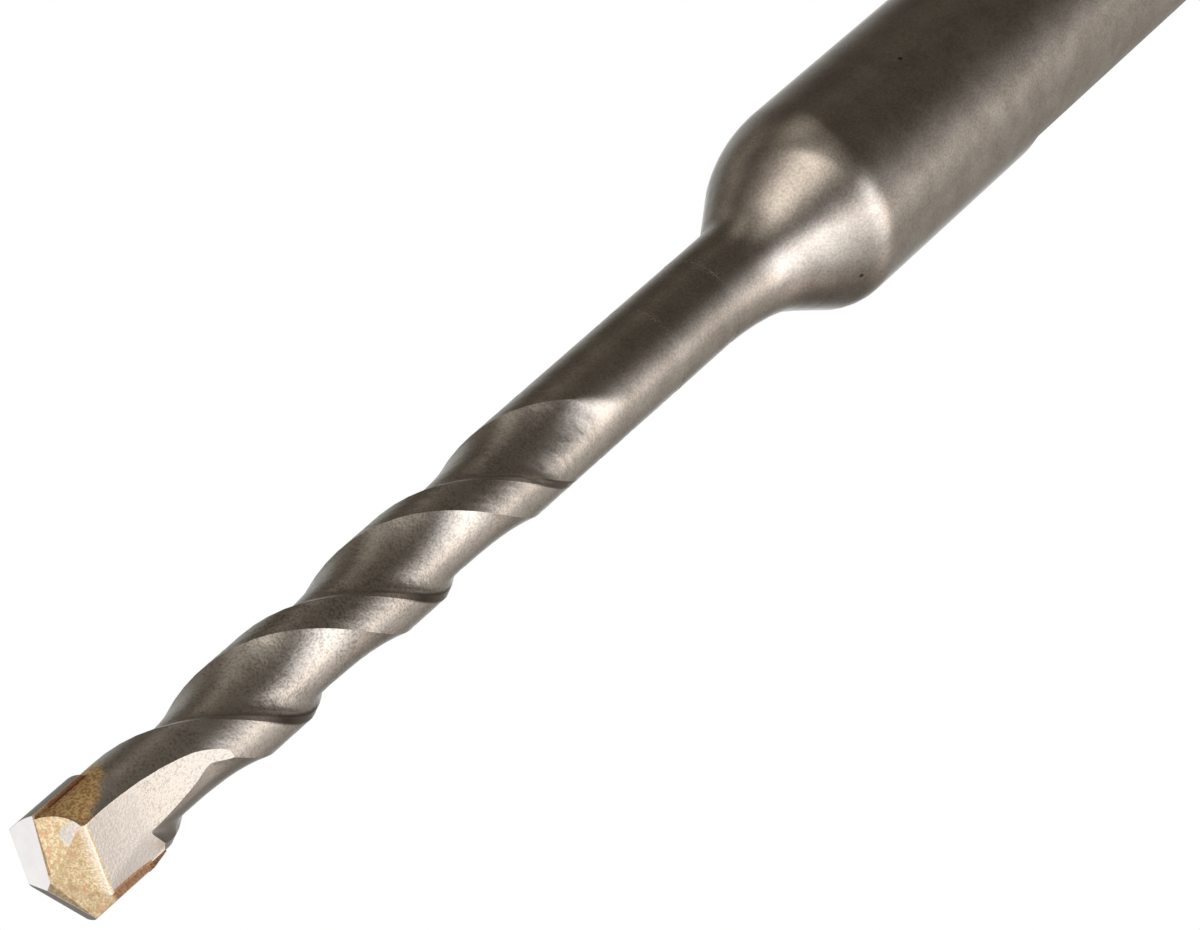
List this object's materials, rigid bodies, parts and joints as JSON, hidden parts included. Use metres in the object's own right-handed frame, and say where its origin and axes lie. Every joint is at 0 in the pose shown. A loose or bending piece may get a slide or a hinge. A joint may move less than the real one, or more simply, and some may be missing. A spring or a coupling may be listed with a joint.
{
  "type": "sds plus drill bit",
  "caption": "Masonry drill bit with a slotted hammer-drill shank, conical shoulder, plain neck, twin right-hand spiral flutes and a brazed hard-metal cutting plate.",
  "frame": {"origin": "centre of the shank's flat end, on the axis", "axes": "+Z along the axis to the point; the drive slots face +X and -X, the detent grooves +Y and -Y"},
  "size_m": [0.01, 0.01, 0.11],
  "materials": {
    "blasted_steel": "satin, fine-blasted",
    "hard_metal": "fine-ground",
    "braze": "satin, flowed"
  },
  "bodies": {
    "root": {"steel_body": "blasted_steel", "carbide_plate": "hard_metal", "braze_seam": "braze"}
  },
  "joints": []
}
